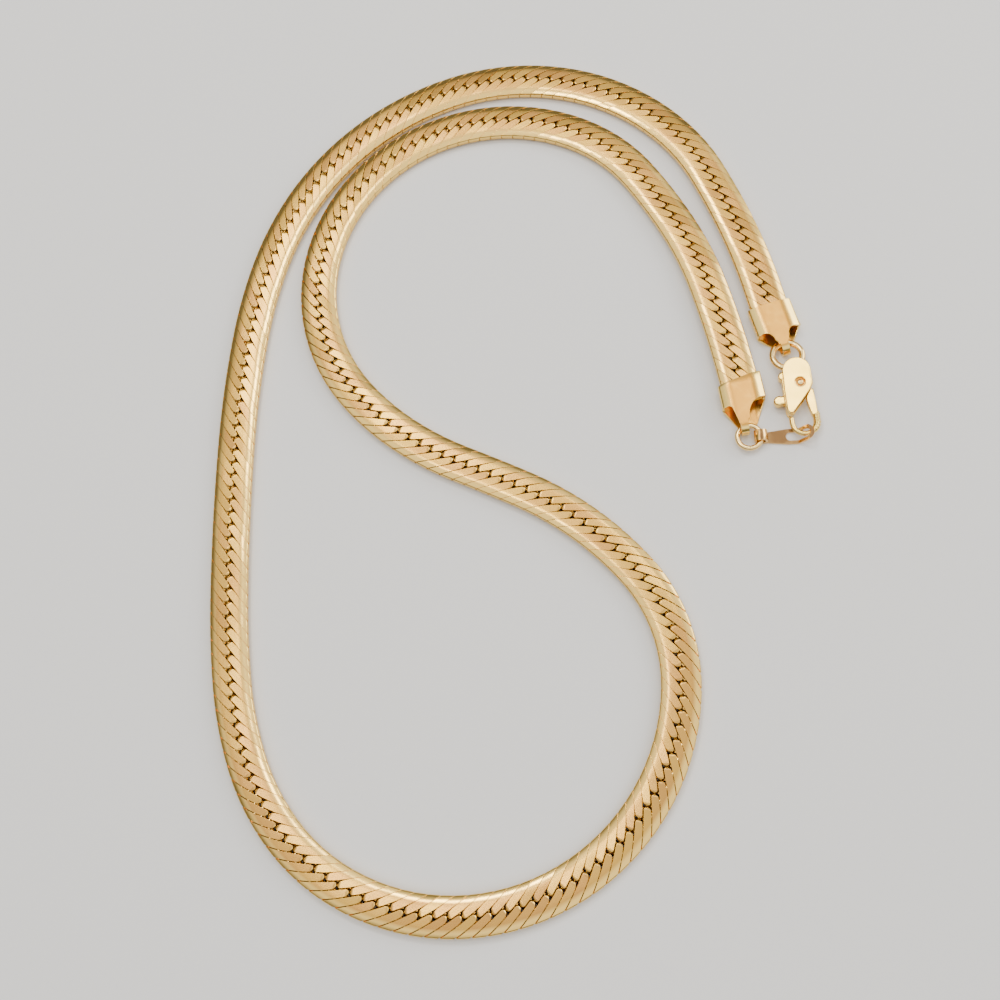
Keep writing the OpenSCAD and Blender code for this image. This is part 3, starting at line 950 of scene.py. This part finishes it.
def makeClawBody(material):
    thick, cheek = claw["thick"], claw["cheek"]
    hx, hy, hr = claw["head"]
    px, py, pr = claw["post"]
    outline = [(hx + hr - claw["sideIn"], claw["cheekEnd"])]
    for k in range(10):                 # the cheek's edge comes out of the side wall round the head
        a = math.radians(5 * k)
        radius = hr - claw["sideIn"] * (1 - k / 9) ** 2
        outline.append((hx + radius * math.cos(a), hy + radius * math.sin(a)))
    outline += arcPoints(hx, hy, hr, 50, 180, 32) + claw["cheekFoot"]
    seat = arcPoints(0, 0, claw["seat"], 0, 350, 35)
    bm = bmesh.new()
    for bottom in (0, thick - cheek):
        addPlate(bm, [outline, seat], bottom, bottom + cheek, claw["cheekRound"])
    wall = claw["wallFoot"] + arcPoints(hx, hy, hr, 4, 44, 10)
    wall += arcPoints(hx, hy, hr - claw["wallThick"], 36, 10, 4)
    addPlate(bm, [wall], 0, thick, claw["sideRound"])
    # the post is the lens where the circles of the head and the post meet, a degree off its corners
    across = math.hypot(px - hx, py - hy)
    toPost = math.degrees(math.atan2(py - hy, px - hx))
    half = math.degrees(math.acos((hr ** 2 + across ** 2 - pr ** 2) / (2 * hr * across)))
    back = math.degrees(math.acos((pr ** 2 + across ** 2 - hr ** 2) / (2 * pr * across)))
    post = arcPoints(hx, hy, hr, toPost - half + 1, toPost + half - 1, 12)
    post += arcPoints(px, py, pr, toPost + 180 - back + 1, toPost + 180 + back - 1, 12)
    addPlate(bm, [post], claw["postIn"], thick - claw["postIn"], claw["postRound"])
    low, high = (thick - claw["arm"]) / 2, (thick + claw["arm"]) / 2
    addPlate(bm, [claw["armOutline"]], low, high, claw["armRound"])
    addSweep(bm, hookPath(), 24)
    piece = pieceFromMm("clawBody", bm, material)
    finishPiece(piece, node="claw_body")


def makeClawLever(material):
    middle = claw["thick"] / 2
    x, y, radius = lever["tab"]
    tab = arcPoints(x, y, radius, 60, 300, 20)
    tab += [(lever["tabEnd"], y - radius), (lever["tabEnd"], y + radius)]
    boss = arcPoints(0, 0, lever["boss"], 0, 345, 23)
    knuckle = arcPoints(*lever["knuckle"], 0, 330, 11)      # few sides, as it is filed
    bm = bmesh.new()
    for outline, over, edge in ((lever["back"], 0, lever["backRound"]),
                                (boss, lever["bossOver"], lever["bossRound"]),
                                (knuckle, lever["knuckleOver"], lever["knuckleRound"]),
                                (tab, lever["tabOver"], lever["tabRound"])):
        half = lever["thick"] / 2 + over
        addPlate(bm, [outline], middle - half, middle + half, edge)
    half = claw["arm"] / 2
    addPlate(bm, [lever["gate"]], middle - half, middle + half, lever["gateRound"])
    piece = pieceFromMm("clawLever", bm, material)
    finishPiece(piece, body="lever", node="claw_lever")


# The rivet's outline from the lower to the upper end, as radius and height: its upper end is a dome
# in a dished seat
rivet = [(0.0, 0.0), (0.3, 0.01), (0.46, 0.06), (0.54, 0.17), (0.66, 0.2), (0.86, 0.1),
         (0.86, 0.3), (0.6, 0.34), (0.6, 2.44), (0.87, 2.47), (0.87, 2.5), (0.72, 2.46),
         (0.64, 2.5), (0.61, 2.62), (0.54, 2.74), (0.4, 2.84), (0.22, 2.9), (0.0, 2.92)]


def makeRivet(material):
    x, y = claw["place"]
    bm = bmesh.new()
    around = 40
    rings = []
    for radius, height in rivet[1:-1]:
        ring = []
        for k in range(around):
            a = 2 * math.pi * k / around
            ring.append(bm.verts.new((x + radius * math.cos(a), y + radius * math.sin(a), height)))
        rings.append(ring)
    joinRings(bm, rings)
    for ring, (_, height) in ((rings[0], rivet[0]), (rings[-1], rivet[-1])):
        centre = bm.verts.new((x, y, height))
        for k in range(around):
            bm.faces.new((centre, ring[k], ring[(k + 1) % around])).smooth = True
    piece = pieceFromMm("clawRivet", bm, material)
    finishPiece(piece, node="claw_rivet")


def finishNode(node, material, width):
    # a CAD piece that stays, with its flat faces made whole and its edges rounded
    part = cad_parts[node]
    part.data.materials.clear()
    part.data.materials.append(material)
    weld = part.modifiers.new("weld", "WELD")
    weld.merge_threshold = 0.001 * mm
    flat = part.modifiers.new("wholeFaces", "DECIMATE")
    flat.decimate_type = "DISSOLVE"
    flat.angle_limit = math.radians(1)
    roundEdges(part, width, 3, 25)
    part.modifiers.new("faceNormals", "WEIGHTED_NORMAL")


def makeClasp():
    links = bpy.data.materials["linkMetal"]
    sheet = claspMaterial("capMetal")
    body = claspMaterial("clawMetal")
    wire = claspMaterial("wireMetal")
    place, turn = makeCap("endCapClawSide", "end_cap_a", cap["clawSide"], 0, -1, sheet)
    makeSolderedLinks("solderedLinksClawSide", -2, -1, place, turn, links)
    place, turn = makeCap("endCapTagSide", "end_cap_b", cap["tagSide"], routeLength, 1, sheet)
    makeSolderedLinks("solderedLinksTagSide", link["loose"], link["loose"] + 1, place, turn, links)
    for node in jumpRing:
        makeJumpRing(node, wire)
    makeClawBody(body)
    makeClawLever(body)
    makeRivet(wire)
    finishNode("end_tag", claspMaterial("tagMetal"), 0.1)
    print("clasp made")


# The view of the photo: the camera stands over the loop's lower right and looks up and left
camera = {
    "place": (0.0221, -0.0772, 0.213),
    "tilt": 18,                         # degrees
    "roll": 6.5,
    "lens": 46.8,
    "sensor": 36,
}


def makeCamera():
    data = bpy.data.cameras.new("camera")
    data.lens = camera["lens"]
    data.sensor_width = camera["sensor"]
    data.clip_start = 0.01
    eye = bpy.data.objects.new("camera", data)
    tilt = Matrix.Rotation(math.radians(camera["tilt"]), 4, "X")
    turn = Matrix.Rotation(math.radians(camera["roll"]), 4, "Y") @ tilt
    eye.matrix_world = Matrix.Translation(camera["place"]) @ turn
    bpy.context.scene.collection.objects.link(eye)
    bpy.context.scene.camera = eye


# A light tent over the loop, open low down, and soft boxes that are aimed at the middle of the loop
tent = {
    "low": 0.2,                         # brightness of its open foot and of its top
    "high": 1.6,
    "from": 0.5,                        # upward part of the direction at which it starts and is whole
    "to": 0.82,
    "sides": 0.28,                      # how much lower it comes down at both sides, and at the east
    "east": 0.2,
    "tint": (1, 0.985, 0.96, 1),
}
lamps = {
    "key": {"place": (-0.14, 0.30, 0.58), "size": 0.13, "watts": 0.9, "tint": (1, 0.98, 0.95)},
    "west": {"place": (-0.155, 0.035, 0.585), "size": 0.09, "watts": 0.42, "tint": (1, 0.98, 0.95)},
    "east": {"place": (0.50, 0.30, 0.24), "size": 0.32, "watts": 1.5, "tint": (1, 0.99, 0.97)},
    "clasp": {"place": (0.129, 0.259, 0.60), "size": 0.10, "watts": 0.38, "tint": (1, 0.98, 0.94)},
}


def makeStudio():
    bpy.ops.mesh.primitive_plane_add(size=20)       # so wide that no view meets its edge
    floor = bpy.context.object
    floor.name = "floor"
    floor.data.materials.append(floorMaterial())
    for name, lamp in lamps.items():
        data = bpy.data.lights.new(name, "AREA")
        data.shape = "SQUARE"
        data.size = lamp["size"]
        data.energy = lamp["watts"]
        data.color = lamp["tint"]
        holder = bpy.data.objects.new(name, data)
        holder.location = lamp["place"]
        holder.rotation_euler = (-Vector(lamp["place"])).to_track_quat("-Z", "Y").to_euler()
        bpy.context.scene.collection.objects.link(holder)
    world = bpy.data.worlds.new("studioTent")
    world.use_nodes = True
    cloth = world.node_tree.nodes["Background"]
    direction = Flow(world.node_tree).node("TexCoord", {}, {}, out=0)
    up = direction.node("SeparateXYZ", {}, {"Vector": direction}, out=2)
    east = direction.node("SeparateXYZ", {}, {"Vector": direction}, out=0)
    reach = up + east * east * tent["sides"] + east * tent["east"]
    plug(cloth, "Strength", up.node("MapRange", {"interpolation_type": "SMOOTHSTEP"}, {
        "Value": reach, "From Min": tent["from"], "From Max": tent["to"],
        "To Min": tent["low"], "To Max": tent["high"]}))
    cloth.inputs["Color"].default_value = tent["tint"]
    bpy.context.scene.world = world
    print("studio lit")


makeCamera()
makeStudio()
makeChain()
makeClasp()
